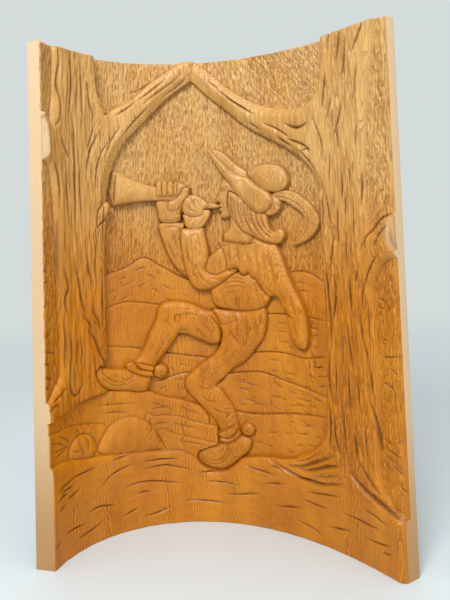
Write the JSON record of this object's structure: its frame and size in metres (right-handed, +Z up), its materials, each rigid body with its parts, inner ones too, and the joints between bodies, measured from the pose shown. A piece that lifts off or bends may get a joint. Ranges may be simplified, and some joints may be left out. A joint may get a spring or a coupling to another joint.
{
  "type": "carved wood relief",
  "caption": "Tall bent board of varnished softwood that stands on its curved edge, its hollow face carved in relief with a horn player walking between trees.",
  "frame": {"origin": "centre of the bounding box at the height of the underside", "axes": "+Z up, the carved hollow face looks towards -Y, +X to the viewer's right"},
  "size_m": [0.4258, 0.155, 0.61],
  "materials": {
    "varnished_softwood": "satin varnish over carved softwood"
  },
  "bodies": {
    "root": {"carved_panel": "varnished_softwood"}
  },
  "joints": []
}
